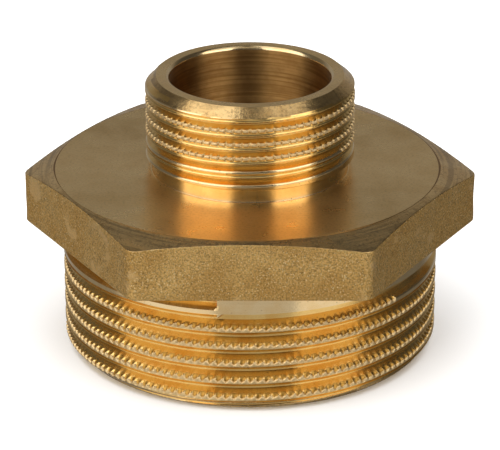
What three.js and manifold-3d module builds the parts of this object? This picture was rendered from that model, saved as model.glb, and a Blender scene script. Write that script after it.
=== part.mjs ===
// Hexagon reducing nipple: one brass body, forged to a hexagon and then turned, bored and threaded.
// Millimetres, +Z up. The origin is the middle of the large end's face, on which the part stands.
// +Z runs along the bore from the large male thread to the small one, and +X points at a corner of
// the hexagon. Angles round the axis are counted from the front, -Y, towards +X.
import * as THREE from "three";
import { mergeVertices } from "three/addons/utils/BufferGeometryUtils.js";
import Module from "manifold-3d";

const { degToRad } = THREE.MathUtils;

// Driving dimensions.
const FACETS = 36; // sides of each turned surface, and steps in one turn of a thread
const HALF_ANGLE = degToRad(27.5); // half the angle between a groove's two flanks
const OVERSHOOT = 1; // how far a cutter reaches past the surface that it cuts

const hexagon = {
  acrossFlats: 50,
  cornerRadius: 1.7,
  bottom: 15.5,
  top: 23,
  discRadius: 24.7, // the flat turned face inside the top bevel
  bevelAngle: degToRad(14.5),
};

// Each male thread is one helical groove, right-hand, with broad flat crests between its turns.
// grooveAtFront is the height of the groove's middle where it crosses the front side, and the turns
// are counted from there: up to the hexagon's end, where the cutter backs out by runOut, and on past
// the thread's free end.
const largeThread = {
  radius: 23.9,
  pitch: 2.309,
  depth: 1.2,
  rootWidth: 0.22,
  endChamfer: 1.3,
  grooveAtFront: 12.1,
  turnsToFreeEnd: -6,
  turnsToHexagon: 1 - 10 / 360,
  runOut: 0.4,
};
const smallThread = {
  radius: 13.2,
  pitch: 1.814,
  depth: 0.83,
  rootWidth: 0.12,
  endChamferWidth: 1.4,
  endChamferHeight: 1.15,
  grooveAtFront: 26.07,
  turnsToFreeEnd: 6,
  turnsToHexagon: -210 / 360,
  runOut: 0.9,
};
const RUN_OUT_TURNS = 1 / 3; // the share of a turn over which a cutter backs out

// Between the small thread and the hexagon, a plain neck widens to a collar under the last groove.
const neck = { radius: 12.45, top: 24.55, collarBottom: 24.95 };
const bore = {
  largeRadius: 19.5,
  largeDepth: 14,
  shoulderAngle: degToRad(31), // the drill point's cone, from the horizontal
  smallRadius: 10.02,
  counterboreRadius: 10.08,
  counterboreDepth: 6.2,
  counterboreStep: 0.1,
  mouthChamfer: 0.5,
  smallMouthChamfer: 0.3,
};
const TOTAL_HEIGHT = 35.3;

const brass = new THREE.MeshStandardMaterial({ color: 0xc9963f, roughness: 0.3, metalness: 1 });

const wasm = await Module();
wasm.setup();

// A closed geometry as a solid. Triangles that have shrunk to a line on the axis are left out.
function solid(geometry) {
  const bare = geometry.clone();
  bare.deleteAttribute("normal");
  bare.deleteAttribute("uv");
  const merged = mergeVertices(bare, 1e-4);
  const corners = merged.index.array;
  const kept = [];
  for (let i = 0; i < corners.length; i += 3) {
    const [a, b, c] = corners.slice(i, i + 3);
    if (a !== b && b !== c && c !== a) kept.push(a, b, c);
  }
  const made = new wasm.Manifold(
    new wasm.Mesh({
      numProp: 3,
      vertProperties: new Float32Array(merged.attributes.position.array),
      triVerts: new Uint32Array(kept),
    }),
  );
  if (made.volume() < 0) throw new Error("the faces of a solid point inwards");
  return made;
}

// A solid back as a geometry with flat-shaded faces.
function geometryOf(made) {
  const mesh = made.getMesh();
  const geometry = new THREE.BufferGeometry();
  geometry.setAttribute("position", new THREE.BufferAttribute(mesh.vertProperties, mesh.numProp));
  geometry.setIndex(new THREE.BufferAttribute(mesh.triVerts, 1));
  geometry.computeVertexNormals();
  return geometry;
}

// A solid turned about +Z from an outline of [radius, height] pairs, listed from the bottom up.
// The outline starts and ends on the axis, and vertex columns start at the front.
function turned(outline) {
  const points = outline.map(([radius, height]) => new THREE.Vector2(radius, height));
  return solid(new THREE.LatheGeometry(points, FACETS).rotateX(Math.PI / 2));
}

// The groove's centre line on the crest cylinder, climbing one pitch a turn.
class GroovePath extends THREE.Curve {
  constructor(thread) {
    super();
    this.thread = thread;
  }

  get turns() {
    return this.thread.turnsToFreeEnd - this.thread.turnsToHexagon;
  }

  turnAt(t) {
    return this.thread.turnsToHexagon + this.turns * t;
  }

  radialAt(t) {
    const angle = 2 * Math.PI * this.turnAt(t);
    return new THREE.Vector3(Math.sin(angle), -Math.cos(angle), 0);
  }

  getPoint(t) {
    const { radius, pitch, grooveAtFront, runOut } = this.thread;
    const turnsIn = Math.abs(this.turns) * t;
    const retreat = runOut * Math.max(0, 1 - turnsIn / RUN_OUT_TURNS);
    const point = this.radialAt(t).multiplyScalar(radius + retreat);
    point.z = grooveAtFront + pitch * this.turnAt(t);
    return point;
  }

  // Steps are even in angle, so that they line up with the facets of the turned blank.
  getPointAt(u) {
    return this.getPoint(u);
  }

  // Each section stays in the plane through the axis, so that the groove doesn't twist.
  computeFrenetFrames(steps) {
    const normals = [];
    const binormals = [];
    const tangents = [];
    for (let i = 0; i <= steps; i++) {
      const radial = this.radialAt(i / steps);
      const axial = new THREE.Vector3(0, 0, this.turns > 0 ? -1 : 1);
      normals.push(radial);
      binormals.push(axial);
      tangents.push(radial.clone().cross(axial));
    }
    return { tangents, normals, binormals };
  }
}

// The cutter of one thread's groove: a flat-bottomed V swept along the helix.
function grooveCutter(thread) {
  const { depth, rootWidth } = thread;
  const reach = 0.25; // past the crests, and short of where neighbouring turns would meet
  const rootHalf = rootWidth / 2;
  const mouthHalf = rootHalf + (depth + reach) * Math.tan(HALF_ANGLE);
  const section = new THREE.Shape([
    new THREE.Vector2(-depth, -rootHalf),
    new THREE.Vector2(reach, -mouthHalf),
    new THREE.Vector2(reach, mouthHalf),
    new THREE.Vector2(-depth, rootHalf),
  ]);
  const path = new GroovePath(thread);
  const steps = Math.round(Math.abs(path.turns) * FACETS);
  return solid(new THREE.ExtrudeGeometry(section, { steps, extrudePath: path }));
}

// The outside of everything that is turned about the axis, with the threads still uncut.
function turnedBlank() {
  const inHexagon = (hexagon.bottom + hexagon.top) / 2;
  const small = smallThread;
  return turned([
    [0, 0],
    [largeThread.radius - largeThread.endChamfer, 0],
    [largeThread.radius, largeThread.endChamfer],
    [largeThread.radius, inHexagon],
    [neck.radius, inHexagon],
    [neck.radius, neck.top],
    [small.radius, neck.collarBottom],
    [small.radius, TOTAL_HEIGHT - small.endChamferHeight],
    [small.radius - small.endChamferWidth, TOTAL_HEIGHT],
    [0, TOTAL_HEIGHT],
  ]);
}

// The spanner hexagon: upright corners rounded by the die, and a shallow turned bevel on its top.
function hexagonPlate() {
  const { acrossFlats, cornerRadius, bottom, top, discRadius, bevelAngle } = hexagon;
  const toCentre = (acrossFlats / 2 - cornerRadius) / Math.cos(Math.PI / 6);
  const outline = new THREE.Shape();
  for (let corner = 0; corner < 6; corner++) {
    const angle = (corner * Math.PI) / 3;
    outline.absarc(
      toCentre * Math.cos(angle),
      toCentre * Math.sin(angle),
      cornerRadius,
      angle - Math.PI / 6,
      angle + Math.PI / 6,
      false,
    );
  }
  const prism = new THREE.ExtrudeGeometry(outline, {
    depth: top - bottom,
    bevelEnabled: false,
    curveSegments: 6,
  }).translate(0, 0, bottom);
  const outside = toCentre + cornerRadius + OVERSHOOT;
  const bevelled = turned([
    [0, bottom - OVERSHOOT],
    [outside, bottom - OVERSHOOT],
    [outside, top - (outside - discRadius) * Math.tan(bevelAngle)],
    [discRadius, top],
    [0, top],
  ]);
  return solid(prism).intersect(bevelled);
}

// The way through: a wide bore from the large end, a drilled cone, and a narrow bore that is
// opened out a little at the small end.
function boreCutter() {
  const { largeRadius, largeDepth, smallRadius, counterboreRadius } = bore;
  const coneHeight = (largeRadius - smallRadius) * Math.tan(bore.shoulderAngle);
  const counterboreBottom = TOTAL_HEIGHT - bore.counterboreDepth;
  return turned([
    [0, -OVERSHOOT],
    [largeRadius + bore.mouthChamfer + OVERSHOOT, -OVERSHOOT],
    [largeRadius, bore.mouthChamfer],
    [largeRadius, largeDepth],
    [smallRadius, largeDepth + coneHeight],
    [smallRadius, counterboreBottom - bore.counterboreStep],
    [counterboreRadius, counterboreBottom],
    [counterboreRadius, TOTAL_HEIGHT - bore.smallMouthChamfer],
    [counterboreRadius + bore.smallMouthChamfer + OVERSHOOT, TOTAL_HEIGHT + OVERSHOOT],
    [0, TOTAL_HEIGHT + OVERSHOOT],
  ]);
}

function fittingBody() {
  const shape = turnedBlank()
    .add(hexagonPlate())
    .subtract(boreCutter())
    .subtract(grooveCutter(largeThread))
    .subtract(grooveCutter(smallThread));
  const mesh = new THREE.Mesh(geometryOf(shape), brass);
  mesh.name = "fitting_body";
  return mesh;
}

const nipple = new THREE.Group();
nipple.add(fittingBody());

export default nipple;
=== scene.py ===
"""A brass hexagon reducing nipple: the finished surface, its finishes, a pale floor and studio light."""

import math

import bpy
import numpy as np
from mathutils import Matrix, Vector


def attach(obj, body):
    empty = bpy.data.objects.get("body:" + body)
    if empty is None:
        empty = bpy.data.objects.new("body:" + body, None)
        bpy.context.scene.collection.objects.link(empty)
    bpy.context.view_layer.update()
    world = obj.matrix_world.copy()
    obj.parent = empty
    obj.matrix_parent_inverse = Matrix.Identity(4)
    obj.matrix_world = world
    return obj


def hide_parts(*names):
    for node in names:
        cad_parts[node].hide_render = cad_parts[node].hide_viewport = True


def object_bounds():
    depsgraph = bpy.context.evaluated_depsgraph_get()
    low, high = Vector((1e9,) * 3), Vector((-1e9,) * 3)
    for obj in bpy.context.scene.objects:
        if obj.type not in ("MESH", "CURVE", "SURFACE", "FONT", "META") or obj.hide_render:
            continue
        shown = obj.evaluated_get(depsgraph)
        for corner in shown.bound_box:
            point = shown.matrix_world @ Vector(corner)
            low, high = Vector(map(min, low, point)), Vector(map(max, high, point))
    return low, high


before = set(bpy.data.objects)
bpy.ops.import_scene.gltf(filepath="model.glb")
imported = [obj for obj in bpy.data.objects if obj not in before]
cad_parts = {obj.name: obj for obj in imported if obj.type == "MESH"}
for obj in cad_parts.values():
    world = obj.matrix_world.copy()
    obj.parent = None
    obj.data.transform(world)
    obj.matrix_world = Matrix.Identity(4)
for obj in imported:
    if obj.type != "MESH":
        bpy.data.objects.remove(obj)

CAD_LOW, CAD_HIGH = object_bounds()
MM = 0.001  # the part's sizes below are in millimetres, and Blender's are in metres

# Angles round the axis are counted from the front, -Y, towards +X.
FLANK = math.radians(27.5)  # a thread flank's slope away from the radial direction
FLANK_TILT = math.pi / 2 - FLANK  # how far a flank's normal leans up or down

TOTAL_HEIGHT = (CAD_HIGH.z - CAD_LOW.z) / MM
ACROSS_FLATS = (CAD_HIGH.y - CAD_LOW.y) / MM
HEX_BOTTOM, HEX_TOP = 15.5, 23.0
CORNER_RADIUS = 1.7
# How far from the axis a rounded corner has its centre.
CORNER_CENTRE = (ACROSS_FLATS / 2 - CORNER_RADIUS) / math.cos(math.pi / 6)
BEVEL_SLOPE = math.tan(math.radians(14.5))
DISC_RADIUS, DISC_SHIFT, DISC_SHIFT_ANGLE = 24.35, 0.4, math.radians(100)
COLLAR_FILLET = 0.12  # between the large thread's collar and the hexagon's underside
NECK_RADIUS, NECK_TOP, COLLAR_BOTTOM = 12.45, 24.55, 24.95
SMALL_CHAMFER_SLOPE = 1.4 / 1.15  # width over height

TURNED_SIDES = 240  # points in a ring of a turned surface
UNDERSIDE_SIDES = 360
SHARP_EDGE = math.radians(38)  # a sharper edge than this isn't smoothed

# The finishes, in the order of the mesh's material slots.
TURNED, CUT, FORGED, FACED, BORED, KNURLED, STRUCK, CHAMFERED = range(8)

# A crest's outline from its lower edge to its upper one, as [height from the crest's middle, depth]:
# a thin ridge that the chaser left, a shallow recess, and the land itself with its worn upper edge.
LARGE_CREST = [
    [-0.63, 0.14],
    [-0.59, 0.06],
    [-0.55, 0.01],
    [-0.48, 0.01],
    [-0.44, 0.10],
    [-0.38, 0.20],
    [-0.29, 0.18],
    [-0.21, 0.03],
    [-0.14, 0.0],
    [0.02, 0.0],
    [0.14, 0.0],
    [0.24, 0.02],
    [0.31, 0.06],
    [0.36, 0.13],
    [0.60, 0.57],
]
# The upper rows of the same outline in the middle of a gap between two knurled teeth.
LARGE_GAP = [
    [-0.19, 0.0],
    [-0.17, 0.01],
    [-0.14, 0.04],
    [-0.09, 0.10],
    [-0.01, 0.24],
    [0.42, 0.36],
    [0.60, 0.57],
]
SMALL_CREST = [
    [-0.56, 0.14],
    [-0.52, 0.06],
    [-0.45, 0.01],
    [-0.38, 0.02],
    [-0.33, 0.08],
    [-0.24, 0.11],
    [-0.08, 0.10],
    [0.0, 0.03],
    [0.06, 0.0],
    [0.18, 0.01],
    [0.27, 0.05],
    [0.34, 0.11],
    [0.39, 0.19],
    [0.50, 0.39],
]
SMALL_GAP = [
    [-0.01, 0.14],
    [0.06, 0.22],
    [0.18, 0.25],
    [0.27, 0.27],
    [0.34, 0.29],
    [0.40, 0.31],
    [0.50, 0.39],
]
CUT_ROWS = slice(1, 7)  # the ridge and the recess
STRIKE_RANGE = (0.7, 1.1)  # how hard a gap is struck, as a share of its full depth
# A gap between teeth takes its own darker finish, painted shade in the gap, where it's as far open and
# as deep as this.
STRUCK_SHARE, STRUCK_DEPTH = 0.3, 0.1
WITHDRAWN = 9.0  # how far back a cutter stands that has left the metal
SNAP = 0.03  # points as near as this to a threaded stretch's end are moved onto it

LARGE_THREAD = dict(
    radius=23.9,
    pitch=2.309,
    crest=LARGE_CREST,
    root_depth=1.12,
    root_round=0.17,
    groove_at_front=12.1,
    low=0.0,
    high=HEX_BOTTOM,
    end_radius=22.6,
    teeth=150,
    column_places=(0, 0.22, 0.42, 0.58, 0.78),
    gap=LARGE_GAP,
    gap_half_width=0.42,
    gap_sharpness=2.5,
)
SMALL_THREAD = dict(
    radius=13.2,
    pitch=1.814,
    crest=SMALL_CREST,
    root_depth=0.8,
    root_round=0.1,
    groove_at_front=26.07,
    low=COLLAR_BOTTOM,
    high=TOTAL_HEIGHT,
    end_radius=11.8,
    teeth=83,
    column_places=(0, 0.09, 0.2, 0.8, 0.91),
    gap=SMALL_GAP,
    gap_half_width=0.2,
    gap_sharpness=1.6,
)


class Skin:
    """Vertices and faces of one closed surface, built ring by ring from the bottom up and inwards."""

    def __init__(self):
        self.points = []
        self.count = 0
        self.faces = []
        self.finishes = []

    def add_points(self, xyz):
        """Keeps the points, and returns their numbers."""
        numbers = np.arange(self.count, self.count + len(xyz))
        self.points.append(xyz)
        self.count += len(xyz)
        return numbers

    def ring(self, angles, radii, heights):
        """A closed ring of points, in order of angle."""
        angles = np.asarray(angles)
        radii = np.broadcast_to(radii, angles.shape)
        heights = np.broadcast_to(heights, angles.shape)
        xyz = np.c_[radii * np.sin(angles), -radii * np.cos(angles), heights]
        return self.add_points(xyz), angles

    def add_face(self, corners, finish):
        distinct = list(dict.fromkeys(corners))
        if len(distinct) > 2:
            self.faces.append(distinct)
            self.finishes.append(finish)

    def join(self, first, second, finish):
        """The strip of faces from one ring to the next, which may have another number of points."""
        a, angles_a = first
        b, angles_b = second
        ends_a = np.append(angles_a[1:], angles_a[0] + 2 * math.pi)
        ends_b = np.append(angles_b[1:], angles_b[0] + 2 * math.pi)
        i = j = 0
        while i < len(a) or j < len(b):
            here_a, next_a = a[i % len(a)], a[(i + 1) % len(a)]
            here_b, next_b = b[j % len(b)], b[(j + 1) % len(b)]
            end_a = ends_a[i] if i < len(a) else math.inf
            end_b = ends_b[j] if j < len(b) else math.inf
            if abs(end_a - end_b) < 1e-6:
                self.add_face([here_a, next_a, next_b, here_b], finish)
                i += 1
                j += 1
            elif end_a < end_b:
                self.add_face([here_a, next_a, here_b], finish)
                i += 1
            else:
                self.add_face([here_a, next_b, here_b], finish)
                j += 1

    def turn(self, last, outline, count, finish):
        """Carries the surface on from the ring last through rings at (radius, height) points."""
        angles = np.arange(count) * 2 * math.pi / count
        for radius, height in outline:
            ring = self.ring(angles, radius, height)
            self.join(last, ring, finish)
            last = ring
        return last

    def mesh(self, name, materials):
        mesh = bpy.data.meshes.new(name)
        mesh.from_pydata(np.concatenate(self.points) * MM, [], self.faces)
        for material in materials:
            mesh.materials.append(material)
        mesh.polygons.foreach_set("material_index", np.array(self.finishes, np.int32))
        mesh.shade_smooth()
        mesh.set_sharp_from_angle(angle=SHARP_EDGE)
        mesh.update()
        return mesh


def thread_profile(thread):
    """One pitch of a thread, from the middle of a crest up to the next.

    Returns the rows' heights and depths at a tooth, the same in a gap between teeth, and the rows'
    finishes. A row's finish is that of the strip above it."""
    pitch, root = thread["pitch"], thread["root_round"]
    crest = np.array(thread["crest"])
    gap = crest.copy()
    gap[-len(thread["gap"]) :] = thread["gap"]
    finishes = np.full(len(crest), TURNED)
    finishes[CUT_ROWS] = CUT
    finishes[-2:] = CUT  # the groove's lower flank
    upper = crest[:, 0] > 0.01  # the rows above the crest's middle
    turns = np.linspace(-FLANK_TILT, FLANK_TILT, 4)
    groove_middle = (crest[-1, 0] + pitch + crest[0, 0]) / 2
    root_heights = groove_middle + root * np.sin(turns)
    root_depths = thread["root_depth"] - root + root * np.cos(turns)

    def one_pitch(outline):
        heights = np.concatenate([outline[upper, 0], root_heights, pitch + outline[~upper, 0]])
        depths = np.concatenate([outline[upper, 1], root_depths, outline[~upper, 1]])
        return heights, depths

    finishes = np.concatenate([finishes[upper], [CUT] * len(turns), finishes[~upper]])
    return one_pitch(crest), one_pitch(gap), finishes


def smooth_step(low, high, x):
    t = np.clip((x - low) / (high - low), 0, 1)
    return t * t * (3 - 2 * t)


def knurl_columns(thread):
    """The columns of points, a few to a tooth: their angles, how far each lies in its gap (1 at the
    gap's middle and 0 on the tooth), and the number of its gap."""
    teeth = thread["teeth"]
    places = np.array(thread["column_places"])
    past_half = places > 0.5
    offsets = np.where(past_half, 1 - places, places)
    in_gap = np.clip(1 - offsets / thread["gap_half_width"], 0, 1)
    tooth = np.arange(teeth)[:, None]
    angles = (tooth + places[None, :]).ravel() * 2 * math.pi / teeth
    gap_numbers = (tooth + past_half[None, :]).ravel() % teeth
    return angles, np.tile(in_gap, teeth), gap_numbers


def thread_surface(skin, thread, cutter_back, knurl_share, widening, chamfer, rng):
    """A threaded stretch, whose rows of points follow the helix. Returns its lowest and highest rings.

    cutter_back, knurl_share and widening are functions of the turns counted from the front: how far
    the groove's cutter has backed out, what share of its full depth the knurl has, and how much
    wider a groove is on top. chamfer gives the largest radius at a height."""
    pitch, radius = thread["pitch"], thread["radius"]
    (heights, depths), (gap_heights, gap_depths), finishes = thread_profile(thread)
    rows_a_pitch = len(heights)
    angles, in_gap, gap_numbers = knurl_columns(thread)
    low, high = thread["low"], thread["high"]
    crest = thread["groove_at_front"] - pitch / 2
    first = math.floor((low - crest) / pitch) - 1
    last = math.ceil((high - crest) / pitch)

    def rows(values):
        return np.tile(values, last - first)[:, None]

    cells = np.repeat(np.arange(first, last), rows_a_pitch)[:, None]
    part_turn = (angles / (2 * math.pi))[None, :]
    turn = cells + part_turn

    # The knurl: gaps struck into each crest's upper edge, some a little deeper than others. The rows
    # over the groove's middle belong to the next turn's crest.
    middle = pitch / 2
    over = rows(heights) > middle
    crest_turn = np.where(over, turn + 1, turn)
    strike = rng.uniform(*STRIKE_RANGE, (last - first + 1, thread["teeth"]))
    strikes = strike[cells - first + over, gap_numbers[None, :]]
    knurled = knurl_share(crest_turn)
    gap = np.clip(in_gap[None, :] * strikes, 0, 1) * knurled
    up = rows(heights) + rows(gap_heights - heights) * gap
    depth = rows(depths) + rows(gap_depths - depths) * np.minimum(gap * thread["gap_sharpness"], 1)
    finish = np.broadcast_to(rows(finishes), gap.shape)
    struck = (rows(gap_heights) != rows(heights)) & (knurled > 0.5)
    finish = np.where((knurled > 0.5) & (finish == TURNED), KNURLED, finish)
    # Where a gap is open and deep enough, the struck finish paints its shade dark brown.
    finish = np.where(struck & (gap > STRUCK_SHARE) & (depth > STRUCK_DEPTH), STRUCK, finish)

    # The groove, which its cutter leaves by backing out.
    depth = np.clip(depth - cutter_back(turn), 0, None)
    finish = np.where(depth > 0, finish, np.where(finish == CUT, TURNED, finish))

    # A groove's upper side may lie higher than its pitch asks, and so does the edge above it.
    raised = np.where(up > middle, widening(turn), widening(turn - 1) * (1 - smooth_step(0, middle, up)))
    plain = (raised > 0) & (up > pitch + thread["crest"][0][0] + 0.01)
    depth = np.where(plain, 0, depth)
    finish = np.where(plain, TURNED, finish)
    z = crest + pitch * turn + up + raised

    finish = np.where(radius - depth > chamfer(z), CHAMFERED, finish)
    r = np.minimum(radius - depth, chamfer(z))
    x, y = r * np.sin(angles)[None, :], -r * np.cos(angles)[None, :]

    below, above = z <= low + SNAP, z >= high - SNAP
    kept = ~(below | above)
    numbers = np.empty(z.shape, int)
    numbers[kept] = skin.add_points(np.c_[x[kept], y[kept], z[kept]])
    low_radius = thread["end_radius"] if thread is LARGE_THREAD else radius
    high_radius = radius if thread is LARGE_THREAD else thread["end_radius"]
    low_ring = skin.ring(angles, low_radius, low)
    high_ring = skin.ring(angles, high_radius, high)
    numbers = np.where(below, low_ring[0][None, :], numbers)
    numbers = np.where(above, high_ring[0][None, :], numbers)
    # One turn on, the first column comes round again one pitch higher.
    round_again = np.full((z.shape[0], 1), high_ring[0][0])
    round_again[: z.shape[0] - rows_a_pitch, 0] = numbers[rows_a_pitch:, 0]
    numbers = np.hstack([numbers, round_again])
    for i in range(numbers.shape[0] - 1):
        lower, upper = numbers[i], numbers[i + 1]
        for j in np.nonzero((lower[:-1] != upper[:-1]) | (lower[1:] != upper[1:]))[0]:
            skin.add_face([lower[j], lower[j + 1], upper[j + 1], upper[j]], finish[i, j])
    return low_ring, high_ring


def hexagon_columns():
    """Angles round the hexagon, close together on its rounded corners."""
    flat = np.linspace(0, CORNER_CENTRE / 2, 13)[:-1]
    half = list(np.arctan2(flat, ACROSS_FLATS / 2))
    for t in np.linspace(0, math.pi / 6, 6):
        # The corner's middle is at 30 degrees from the flat's middle.
        x = CORNER_CENTRE * math.cos(math.pi / 6) + CORNER_RADIUS * math.cos(t)
        y = CORNER_CENTRE * math.sin(math.pi / 6) + CORNER_RADIUS * math.sin(t)
        half.append(math.atan2(y, x))
    half = np.array(half)
    side = np.concatenate([half, math.pi / 3 - half[-2:0:-1]])
    return np.concatenate([side + k * math.pi / 3 for k in range(6)])


def hexagon_radius(angles):
    """The distance from the axis to the hexagon's side, with its corners rounded."""
    from_flat = np.abs((angles + math.pi / 6) % (math.pi / 3) - math.pi / 6)
    from_corner = math.pi / 6 - from_flat
    flat = ACROSS_FLATS / 2 / np.cos(from_flat)
    inside = np.clip(CORNER_RADIUS**2 - (CORNER_CENTRE * np.sin(from_corner)) ** 2, 0, None)
    corner = CORNER_CENTRE * np.cos(from_corner) + np.sqrt(inside)
    flat_end = math.atan2(CORNER_CENTRE / 2, ACROSS_FLATS / 2)
    return np.where(from_flat < flat_end, flat, corner)


def disc_radius(angles):
    """The faced disc's edge, a little off centre because the bevel was turned in a second chucking."""
    return DISC_RADIUS + DISC_SHIFT * np.cos(angles + DISC_SHIFT_ANGLE)


def hexagon_surface(skin, last):
    """From the collar's top, out under the hexagon, up its sides and in over the bevel."""
    angles = hexagon_columns()
    outline = hexagon_radius(angles)
    top = HEX_TOP - np.clip(outline - disc_radius(angles), 0, None) * BEVEL_SLOPE
    lower_round, upper_round = 0.12, 0.16

    fillet_radius = LARGE_THREAD["radius"] + COLLAR_FILLET
    last = skin.turn(last, [(fillet_radius, HEX_BOTTOM)], UNDERSIDE_SIDES, TURNED)
    for share in (0.5, 1):
        radii = fillet_radius * (1 - share) + (outline - lower_round) * share
        ring = skin.ring(angles, radii, HEX_BOTTOM)
        skin.join(last, ring, FORGED)
        last = ring
    for t in np.linspace(0, math.pi / 2, 4)[1:]:
        inset, rise = lower_round * (1 - math.sin(t)), lower_round * (1 - math.cos(t))
        ring = skin.ring(angles, outline - inset, HEX_BOTTOM + rise)
        skin.join(last, ring, FORGED)
        last = ring
    bottom = HEX_BOTTOM + lower_round
    for share in np.linspace(0, 1, 13)[1:]:
        # A forging's side isn't quite flat.
        wave = 0.03 * np.sin(5 * angles + 4 * share) + 0.02 * np.sin(13 * angles - 7 * share)
        wave = (wave - 0.05) * math.sin(math.pi * share)
        ring = skin.ring(angles, outline + wave, bottom + (top - upper_round - bottom) * share)
        skin.join(last, ring, FORGED)
        last = ring
    # The bevel's finish starts on the upper part of the rounded edge.
    bevel_tilt = math.pi / 2 - math.atan(BEVEL_SLOPE)
    for t in np.linspace(0, bevel_tilt, 5)[1:]:
        inset = upper_round * (1 - math.cos(t))
        rise = upper_round * math.sin(t)
        ring = skin.ring(angles, outline - inset, top - upper_round + rise)
        skin.join(last, ring, CHAMFERED if t > bevel_tilt * 0.6 else FORGED)
        last = ring
    start = outline - upper_round * (1 - math.cos(bevel_tilt))
    start_height = top - upper_round * (1 - math.sin(bevel_tilt))
    disc = disc_radius(angles)
    for share in (0.33, 0.66, 0.94):
        radii = start + (disc - start) * share
        ring = skin.ring(angles, radii, start_height + (HEX_TOP - start_height) * share)
        skin.join(last, ring, CHAMFERED)
        last = ring
    # A thin dark line runs round where the bevel meets the disc.
    for inset, finish in ((0.02, BORED), (0.3, FACED)):
        ring = skin.ring(angles, disc - inset, HEX_TOP)
        skin.join(last, ring, finish)
        last = ring
    rings = [(radius, HEX_TOP) for radius in (23.2, 20, 16, 13.2)]
    return skin.turn(last, rings, TURNED_SIDES, FACED)


def neck_surface(skin, last):
    """The plain neck, with the tool's small nick at its foot, and the collar under the thread."""
    foot = [(12.85, HEX_TOP), (12.72, HEX_TOP - 0.03), (12.62, HEX_TOP - 0.1), (12.5, HEX_TOP - 0.06)]
    last = skin.turn(last, foot, TURNED_SIDES, FACED)
    rise = [(NECK_RADIUS, HEX_TOP + 0.06), (NECK_RADIUS, HEX_TOP + 0.5), (NECK_RADIUS, NECK_TOP - 0.1)]
    widen = [(NECK_RADIUS + 0.02, NECK_TOP), (12.8, 24.74), (13.12, COLLAR_BOTTOM - 0.08)]
    return skin.turn(last, rise + widen, TURNED_SIDES, TURNED)


def bore_surface(skin, last):
    """Over the small end's rim, down the bores, and out over the large end's face."""
    top = TOTAL_HEIGHT
    rim = [(11.72, top), (11.0, top), (10.5, top)]
    last = skin.turn(last, rim, TURNED_SIDES, FACED)
    edge = [(10.42, top - 0.04), (10.24, top - 0.18), (10.12, top - 0.33), (10.08, top - 0.45)]
    last = skin.turn(last, edge, TURNED_SIDES, TURNED)
    narrow = [
        (10.08, top - 3),
        (10.08, 29.15),
        (10.06, 29.1),
        (10.03, 29.05),
        (10.02, 24),
        (10.02, 20),
        (10.12, 19.75),
    ]
    last = skin.turn(last, narrow, TURNED_SIDES, BORED)
    wide = [(14.7, 16.95), (19.3, 14.2), (19.5, 13.95), (19.5, 8), (19.5, 0.55), (19.55, 0.45)]
    last = skin.turn(last, wide, TURNED_SIDES, BORED)
    face = [(19.97, 0.03), (20.05, 0), (21.2, 0), (22.3, 0)]
    return skin.turn(last, face, TURNED_SIDES, FACED)


def fitting(materials):
    """The whole part. materials are in the order of the finishes."""
    rng = np.random.default_rng(11)
    skin = Skin()

    # Over a groove's last third of a turn its cutter backs out a little, and then leaves the metal.
    def large_cutter(turn):
        end = 1 - 10 / 360
        return np.where(turn > end, WITHDRAWN, 0.35 * np.clip(1 - (end - turn) * 3, 0, 1))

    def small_cutter(turn):
        end = -210 / 360
        return np.where(turn < end, WITHDRAWN, np.clip(1 - (turn - end) * 3, 0, 1))

    # The turns of a crest that are knurled: the large thread's from its free end on, and the small
    # thread's between two ends.
    def large_knurl(turn):
        return 1 - smooth_step(0.13, 0.14, turn)

    def small_knurl(turn):
        return smooth_step(1.155, 1.165, turn) * (1 - smooth_step(4.5, 4.6, turn))

    # From just left of the front side, for over half a turn, the large thread's groove is wider.
    def large_widening(turn):
        return 0.5 * smooth_step(-0.027, -0.022, turn) * (1 - smooth_step(0.55, 0.8, turn))

    def no_widening(turn):
        return 0 * turn

    def large_chamfer(z):
        return LARGE_THREAD["end_radius"] + z

    def small_chamfer(z):
        return SMALL_THREAD["end_radius"] + (TOTAL_HEIGHT - z) * SMALL_CHAMFER_SLOPE

    bottom, collar = thread_surface(
        skin, LARGE_THREAD, large_cutter, large_knurl, large_widening, large_chamfer, rng
    )
    last = hexagon_surface(skin, collar)
    last = neck_surface(skin, last)
    low, high = thread_surface(
        skin, SMALL_THREAD, small_cutter, small_knurl, no_widening, small_chamfer, rng
    )
    skin.join(last, low, TURNED)
    last = bore_surface(skin, high)
    skin.join(last, bottom, FACED)

    piece = bpy.data.objects.new("brass_fitting", skin.mesh("brass_fitting", materials))
    bpy.context.scene.collection.objects.link(piece)
    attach(piece, "root")
    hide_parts("fitting_body")


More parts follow.
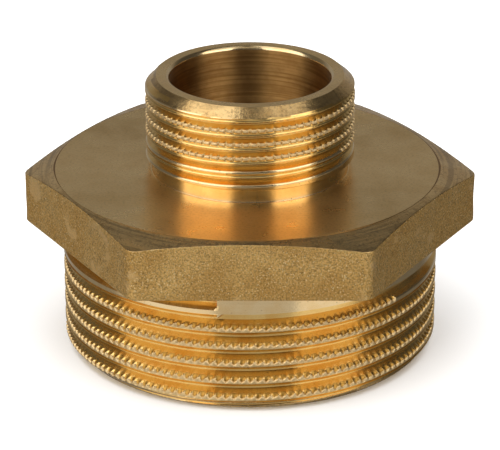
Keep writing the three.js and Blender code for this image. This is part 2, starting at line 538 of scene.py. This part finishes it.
class Nodes:
    """A small helper that adds nodes to one tree and links them."""

    def __init__(self, tree):
        self.tree = tree

    def node(self, kind, **settings):
        made = self.tree.nodes.new(kind)
        for key, value in settings.items():
            setattr(made, key, value)
        return made

    def put(self, socket, value):
        if isinstance(value, bpy.types.NodeSocket):
            self.tree.links.new(value, socket)
        else:
            socket.default_value = value

    def vector(self, operation, first, second=None, scale=None):
        made = self.node("ShaderNodeVectorMath", operation=operation)
        self.put(made.inputs[0], first)
        if second is not None:
            self.put(made.inputs[1], second)
        if scale is not None:
            self.put(made.inputs["Scale"], scale)
        return made.outputs["Value" if operation == "LENGTH" else "Vector"]

    def maths(self, operation, first, second=0.0):
        made = self.node("ShaderNodeMath", operation=operation)
        self.put(made.inputs[0], first)
        self.put(made.inputs[1], second)
        return made.outputs[0]

    def ranged(self, value, low, high, to_low, to_high):
        """to_low below low, to_high above high, and a smooth step between."""
        made = self.node("ShaderNodeMapRange", interpolation_type="SMOOTHSTEP")
        for name, number in zip(
            ("Value", "From Min", "From Max", "To Min", "To Max"), (value, low, high, to_low, to_high)
        ):
            self.put(made.inputs[name], number)
        return made.outputs[0]

    def mixed_value(self, share, first, second):
        made = self.node("ShaderNodeMix", data_type="FLOAT")
        self.put(made.inputs[0], share)
        self.put(made.inputs[2], first)
        self.put(made.inputs[3], second)
        return made.outputs[0]

    def noise(self, place, scale, detail, roughness):
        made = self.node("ShaderNodeTexNoise")
        self.put(made.inputs["Vector"], place)
        self.put(made.inputs["Scale"], scale)
        self.put(made.inputs["Detail"], detail)
        self.put(made.inputs["Roughness"], roughness)
        return made.outputs[0]

    def mixed(self, share, first, second):
        made = self.node("ShaderNodeMix", data_type="RGBA")
        self.put(made.inputs[0], share)
        self.put(made.inputs[6], first)
        self.put(made.inputs[7], second)
        return made.outputs[2]


class Shader(Nodes):
    """The nodes of one material, which follow the place on the part in millimetres."""

    def __init__(self, name):
        self.material = bpy.data.materials.new(name)
        self.material.use_nodes = True
        super().__init__(self.material.node_tree)
        self.surface = self.tree.nodes["Principled BSDF"]
        position = self.node("ShaderNodeTexCoord").outputs["Object"]
        self.place = self.vector("SCALE", position, scale=1 / MM)

    def bump(self, height, distance, under=None):
        """Relief distance millimetres deep, on top of the relief under."""
        made = self.node("ShaderNodeBump")
        self.put(made.inputs["Height"], height)
        self.put(made.inputs["Distance"], distance * MM)
        if under is not None:
            self.put(made.inputs["Normal"], under)
        return made.outputs[0]

    def tool_lines(self, spacing, drift=0.6):
        """Noise drawn out round the axis, as a cutting tool leaves it. spacing is in millimetres."""
        flat = self.vector("MULTIPLY", self.place, (1, 1, 0))
        radius = self.vector("LENGTH", flat)
        around = self.vector("SCALE", self.vector("NORMALIZE", flat), scale=drift)
        parts = self.node("ShaderNodeSeparateXYZ")
        self.put(parts.inputs[0], self.place)
        along = self.maths("ADD", radius, parts.outputs["Z"])
        joined = self.node("ShaderNodeCombineXYZ")
        self.put(joined.inputs["Z"], self.maths("DIVIDE", along, spacing))
        place = self.vector("ADD", around, joined.outputs[0])
        return self.noise(place, 1.0, 3.0, 0.6)


ACROSS_LINES = 0.25  # the turn that spreads a highlight across the tool lines round the axis
BRASS = (0.92, 0.70, 0.39, 1)
BRASS_DEEP = (0.88, 0.62, 0.30, 1)
BRASS_CUT = (0.89, 0.60, 0.22, 1)
BRASS_CUT_DEEP = (0.83, 0.50, 0.15, 1)
BRASS_PALE = (0.90, 0.63, 0.28, 1)
BRASS_DULL = (0.82, 0.55, 0.22, 1)
FORGED_DARK = (0.64, 0.39, 0.12, 1)
FORGED_LIGHT = (0.79, 0.51, 0.18, 1)
FORGED_PIT = (0.22, 0.13, 0.04, 1)
# A painted highlight colour, for the glints on the forged sides.
FORGED_PAINTED_GLINT = (1.0, 0.85, 0.5, 1)
FORGED_RUBBED = (0.80, 0.56, 0.26, 1)
BORE_LIGHT = (0.53, 0.30, 0.10, 1)
BORE_DARK = (0.40, 0.215, 0.07, 1)
BORE_LINE = (0.25, 0.12, 0.03, 1)
TOOTH_DARK = (0.72, 0.51, 0.25, 1)
TOOTH_LIGHT = (0.88, 0.66, 0.35, 1)
# The struck gaps' dark browns: painted shade in the gaps between the knurled teeth.
GAP_SHADE_DARK = (0.42, 0.22, 0.045, 1)
GAP_SHADE_LIGHT = (0.56, 0.31, 0.07, 1)
CHAMFER_LIGHT = (0.90, 0.62, 0.28, 1)
CHAMFER_DARK = (0.78, 0.50, 0.20, 1)
TARNISH = (0.30, 0.19, 0.08, 1)


def turned_brass():
    """Neck, collar and crests: the bright turned skin, with the cutter's fine lines round the axis."""
    return lathed("turned_brass", BRASS, BRASS_DEEP, 0.005)


def cut_brass():
    """The thread grooves, where the chaser cut fresh and yellower metal."""
    return lathed("cut_brass", BRASS_CUT, BRASS_CUT_DEEP, 0.014)


def lathed(name, colour_one, colour_two, line_depth):
    s = Shader(name)
    lines = s.tool_lines(0.16)
    stain = s.noise(s.place, 0.35, 4.0, 0.6)
    colour = s.mixed(s.ranged(stain, 0.35, 0.7, 0, 1), colour_one, colour_two)
    specks = s.noise(s.place, 2.6, 2.0, 0.5)
    colour = s.mixed(s.ranged(specks, 0.68, 0.76, 0, 0.7), colour, TARNISH)
    s.put(s.surface.inputs["Base Color"], colour)
    s.put(s.surface.inputs["Metallic"], 1.0)
    s.put(s.surface.inputs["Roughness"], s.ranged(lines, 0.3, 0.7, 0.13, 0.22))
    s.put(s.surface.inputs["Anisotropic"], 0.6)
    s.put(s.surface.inputs["Anisotropic Rotation"], ACROSS_LINES)
    normal = s.bump(lines, line_depth)
    normal = s.bump(specks, 0.006, normal)
    s.put(s.surface.inputs["Normal"], normal)
    return s.material


def forged_brass():
    """The hexagon's sides, as they left the die and the shot blast: matt and finely speckled, with small
    painted glints.
    """
    s = Shader("forged_brass")
    grain = s.noise(s.place, 4.2, 3.0, 0.7)
    painted_glints = s.noise(s.place, 5.6, 2.0, 0.6)
    cells = s.node("ShaderNodeTexVoronoi", feature="F1")
    s.put(cells.inputs["Vector"], s.place)
    s.put(cells.inputs["Scale"], 3.2)
    patch = s.noise(s.place, 0.16, 3.0, 0.6)
    colour = s.mixed(s.ranged(patch, 0.35, 0.68, 0, 1), FORGED_DARK, FORGED_LIGHT)
    colour = s.mixed(s.ranged(grain, 0.3, 0.6, 0.8, 0), colour, FORGED_PIT)
    # Small bright spots of painted highlight, standing for the glints that the rough grain catches.
    colour = s.mixed(s.ranged(painted_glints, 0.58, 0.7, 0, 0.9), colour, FORGED_PAINTED_GLINT)
    rubbed = s.ranged(s.noise(s.place, 0.24, 2.0, 0.5), 0.6, 0.68, 0, 0.6)
    colour = s.mixed(rubbed, colour, FORGED_RUBBED)
    s.put(s.surface.inputs["Base Color"], colour)
    s.put(s.surface.inputs["Metallic"], 1.0)
    s.put(s.surface.inputs["Roughness"], s.ranged(patch, 0.3, 0.7, 0.66, 0.5))
    normal = s.bump(grain, 0.11)
    normal = s.bump(cells.outputs["Distance"], 0.05, normal)
    s.put(s.surface.inputs["Normal"], normal)
    return s.material


def faced_brass():
    """Faces turned square to the axis: fine rings, faint stains and a duller, browner skin."""
    s = Shader("faced_brass")
    lines = s.tool_lines(0.12, 0.35)
    grain = s.noise(s.place, 3.0, 2.0, 0.6)
    stain = s.noise(s.place, 0.22, 5.0, 0.62)
    colour = s.mixed(s.ranged(stain, 0.3, 0.75, 0, 1), BRASS_PALE, BRASS_DULL)
    colour = s.mixed(s.ranged(grain, 0.3, 0.55, 0.22, 0), colour, TARNISH)
    specks = s.noise(s.place, 3.4, 1.0, 0.5)
    colour = s.mixed(s.ranged(specks, 0.74, 0.82, 0, 0.5), colour, TARNISH)
    s.put(s.surface.inputs["Base Color"], colour)
    s.put(s.surface.inputs["Metallic"], 1.0)
    s.put(s.surface.inputs["Roughness"], s.ranged(stain, 0.25, 0.75, 0.25, 0.35))
    s.put(s.surface.inputs["Anisotropic"], 0.8)
    s.put(s.surface.inputs["Anisotropic Rotation"], ACROSS_LINES)
    normal = s.bump(lines, 0.006)
    normal = s.bump(grain, 0.004, normal)
    s.put(s.surface.inputs["Normal"], normal)
    return s.material


def bored_brass():
    """Inside the bores, and the line round the disc: coarse drill lines on a browner surface."""
    s = Shader("bored_brass")
    lines = s.tool_lines(0.3, 0.7)
    stain = s.noise(s.place, 0.5, 4.0, 0.6)
    colour = s.mixed(s.ranged(stain, 0.35, 0.7, 0, 1), BORE_LIGHT, BORE_DARK)
    colour = s.mixed(s.ranged(lines, 0.35, 0.62, 0.7, 0), colour, BORE_LINE)
    s.put(s.surface.inputs["Base Color"], colour)
    s.put(s.surface.inputs["Metallic"], 1.0)
    s.put(s.surface.inputs["Roughness"], s.ranged(lines, 0.3, 0.7, 0.48, 0.58))
    s.put(s.surface.inputs["Anisotropic"], 0.92)
    s.put(s.surface.inputs["Anisotropic Rotation"], ACROSS_LINES)
    s.put(s.surface.inputs["Normal"], s.bump(lines, 0.05))
    return s.material


def knurled_brass():
    """The teeth that the knurling wheel left and the land under them: dull, with no clear reflection."""
    return knurled("knurled_brass", TOOTH_DARK, TOOTH_LIGHT, 0.5)


def struck_gap_painted_shade():
    """The gaps that the knurling wheel struck between the teeth, coloured dark brown as painted shade.
    """
    return knurled("struck_gap_painted_shade", GAP_SHADE_DARK, GAP_SHADE_LIGHT, 0.4)


def knurled(name, colour_one, colour_two, roughness):
    s = Shader(name)
    grain = s.noise(s.place, 2.8, 3.0, 0.6)
    colour = s.mixed(s.ranged(grain, 0.35, 0.65, 0, 1), colour_one, colour_two)
    s.put(s.surface.inputs["Base Color"], colour)
    s.put(s.surface.inputs["Metallic"], 1.0)
    s.put(s.surface.inputs["Roughness"], roughness)
    s.put(s.surface.inputs["Normal"], s.bump(grain, 0.03))
    return s.material


def chamfered_brass():
    """The end chamfers and the hexagon's bevel: a coarse cut, scratched round the axis and stained."""
    s = Shader("chamfered_brass")
    lines = s.tool_lines(0.3, 1.6)
    grain = s.noise(s.place, 2.2, 3.0, 0.65)
    stain = s.noise(s.place, 0.3, 4.0, 0.6)
    colour = s.mixed(s.ranged(stain, 0.36, 0.66, 0, 1), CHAMFER_LIGHT, CHAMFER_DARK)
    colour = s.mixed(s.ranged(lines, 0.36, 0.56, 0.55, 0), colour, TARNISH)
    colour = s.mixed(s.ranged(grain, 0.34, 0.5, 0.5, 0), colour, TARNISH)
    s.put(s.surface.inputs["Base Color"], colour)
    s.put(s.surface.inputs["Metallic"], 1.0)
    s.put(s.surface.inputs["Roughness"], s.ranged(stain, 0.3, 0.7, 0.2, 0.3))
    s.put(s.surface.inputs["Anisotropic"], 0.7)
    s.put(s.surface.inputs["Anisotropic Rotation"], ACROSS_LINES)
    normal = s.bump(lines, 0.03)
    normal = s.bump(grain, 0.02, normal)
    s.put(s.surface.inputs["Normal"], normal)
    return s.material


FOCAL_LENGTH, SENSOR_WIDTH = 196.4, 36
CAMERA_ELEVATION = math.radians(23.34)
CAMERA_DISTANCE, AIM_HEIGHT = 349.9, 14.63


def set_camera():
    """A long lens, looking a little down at the front flat."""
    data = bpy.data.cameras.new("camera")
    data.lens, data.sensor_width = FOCAL_LENGTH, SENSOR_WIDTH
    camera = bpy.data.objects.new("camera", data)
    bpy.context.scene.collection.objects.link(camera)
    back = Vector((0, -math.cos(CAMERA_ELEVATION), math.sin(CAMERA_ELEVATION)))
    camera.location = Vector((0, 0, AIM_HEIGHT * MM)) + back * CAMERA_DISTANCE * MM
    camera.rotation_mode = "QUATERNION"
    camera.rotation_quaternion = (-back).to_track_quat("-Z", "Y")
    bpy.context.scene.camera = camera


# The light tent's edges, each as the two angles between which it fades: degrees from the front
# towards +X for the sides, and degrees above the horizon for the panel's bottom and top.
LEFT_WALL_BACK, LEFT_WALL_FRONT = (-88, -80), (-25, -20)
RIGHT_WALL_FRONT, RIGHT_WALL_BACK = (27, 30), (66, 74)
PANEL_BOTTOM, PANEL_TOP, PANEL_SIDE = (56, 60), (66, 70), (50, 62)
# How bright each is.
WALL_LIGHT, WALL_FOOT_LIGHT, PANEL_SHARE = 2.0, 0.85, 0.7
TABLE_NEAR, TABLE_FAR, TABLE_LEFT, TABLE_RIGHT, TABLE_BEHIND = 0.24, 0.53, 0.24, 0.14, 0.34
ROOM_LEFT, ROOM_RIGHT, ROOM_BEHIND = 0.12, 0.06, 0.28


def overhead_lamp():
    """A broad lamp over the table, which lights it evenly and isn't mirrored in the brass."""
    data = bpy.data.lights.new("overhead", "AREA")
    data.size = 1.6
    data.energy = 18
    lamp = bpy.data.objects.new("overhead", data)
    lamp.location = (0, 0, 1)
    lamp.visible_glossy = False
    bpy.context.scene.collection.objects.link(lamp)


def set_light():
    """A light tent: a bright wall on each side of a dark gap at the front, over a pale table."""
    overhead_lamp()
    world = bpy.data.worlds.new("studio")
    world.use_nodes = True
    bpy.context.scene.world = world
    s = Nodes(world.node_tree)
    direction = s.node("ShaderNodeSeparateXYZ")
    s.put(direction.inputs[0], s.node("ShaderNodeTexCoord").outputs["Generated"])
    x, y, z = direction.outputs
    # Degrees from the front towards +X, and degrees above the horizon.
    azimuth = s.maths("DEGREES", s.maths("ARCTAN2", x, s.maths("MULTIPLY", y, -1.0)))
    elevation = s.maths("DEGREES", s.maths("ARCSINE", z))

    # Higher up, the walls lean back over the table and the gap between them widens.
    back_lean = s.maths("MULTIPLY", s.maths("MAXIMUM", s.maths("SUBTRACT", elevation, 25.0), 0.0), 0.85)
    gap_lean = s.maths("MAXIMUM", s.maths("SUBTRACT", elevation, 60.0), 0.0)
    left_back = s.ranged(s.maths("ADD", azimuth, back_lean), *LEFT_WALL_BACK, 0, 1)
    left_front = s.ranged(s.maths("ADD", azimuth, gap_lean), *LEFT_WALL_FRONT, 1, 0)
    right_front = s.ranged(s.maths("SUBTRACT", azimuth, gap_lean), *RIGHT_WALL_FRONT, 0, 1)
    right_back = s.ranged(s.maths("SUBTRACT", azimuth, back_lean), *RIGHT_WALL_BACK, 1, 0)
    left = s.maths("MULTIPLY", left_back, left_front)
    right = s.maths("MULTIPLY", right_back, right_front)
    right = s.maths("MULTIPLY", right, s.ranged(elevation, 45, 60, 1, 0.5))
    # A narrower panel hangs high up over the front.
    above, below = s.ranged(elevation, *PANEL_BOTTOM, 0, 1), s.ranged(elevation, *PANEL_TOP, 1, 0)
    beside = s.ranged(s.maths("ABSOLUTE", azimuth), *PANEL_SIDE, PANEL_SHARE, 0)
    panel = s.maths("MULTIPLY", s.maths("MULTIPLY", above, below), beside)
    wall_here = s.maths("MINIMUM", s.maths("ADD", s.maths("ADD", left, right), panel), 1.0)

    # A wall is dimmer at its foot and high up, and brighter where its light comes back off the table.
    wall = s.ranged(elevation, 13, 19, WALL_FOOT_LIGHT, WALL_LIGHT)
    wall = s.maths("MULTIPLY", wall, s.ranged(elevation, 45, 70, 1, 0.6))
    wall = s.maths("MULTIPLY", wall, s.ranged(elevation, -75, -50, 1.4, 1))

    # The table's different sides, and the dim room between and behind the walls.
    table = s.ranged(elevation, -45, -23, TABLE_NEAR, TABLE_FAR)
    table = s.maths("MULTIPLY", table, s.ranged(elevation, -75, -50, 0.4, 1))
    table = s.mixed_value(s.ranged(azimuth, -100, -60, 1, 0), table, TABLE_LEFT)
    table = s.mixed_value(s.ranged(azimuth, 60, 100, 0, 1), table, TABLE_RIGHT)
    table = s.mixed_value(s.ranged(y, 0.6, 0.85, 0, 1), table, TABLE_BEHIND)
    room_beside = s.ranged(x, -0.3, 0.3, ROOM_LEFT, ROOM_RIGHT)
    room = s.mixed_value(s.ranged(y, 0.55, 0.88, 0, 1), room_beside, ROOM_BEHIND)
    around = s.mixed_value(s.ranged(elevation, -10, 10, 0, 1), table, room)
    radiance = s.mixed_value(wall_here, around, wall)
    background = world.node_tree.nodes["Background"]
    s.put(background.inputs["Strength"], radiance)
    background.inputs["Color"].default_value = (1.0, 0.985, 0.96, 1)


FLOOR_GAP = 0.02  # keeps the floor clear of the face that stands on it


def set_floor():
    """A pale, matt table top."""
    mesh = bpy.data.meshes.new("floor")
    half = 3.0  # metres
    corners = [(-half, -half, 0), (half, -half, 0), (half, half, 0), (-half, half, 0)]
    mesh.from_pydata(corners, [], [(0, 1, 2, 3)])
    material = bpy.data.materials.new("floor")
    material.use_nodes = True
    surface = material.node_tree.nodes["Principled BSDF"]
    surface.inputs["Base Color"].default_value = (0.93, 0.93, 0.93, 1)
    surface.inputs["Roughness"].default_value = 0.9
    surface.inputs["Specular IOR Level"].default_value = 0.0
    mesh.materials.append(material)
    floor = bpy.data.objects.new("floor", mesh)
    floor.location.z = CAD_LOW.z - FLOOR_GAP * MM
    floor.visible_glossy = False
    bpy.context.scene.collection.objects.link(floor)


set_camera()
set_light()
set_floor()
makers = (
    turned_brass,
    cut_brass,
    forged_brass,
    faced_brass,
    bored_brass,
    knurled_brass,
    struck_gap_painted_shade,
    chamfered_brass,
)
fitting([make() for make in makers])
bpy.context.scene.view_settings.view_transform = "Standard"
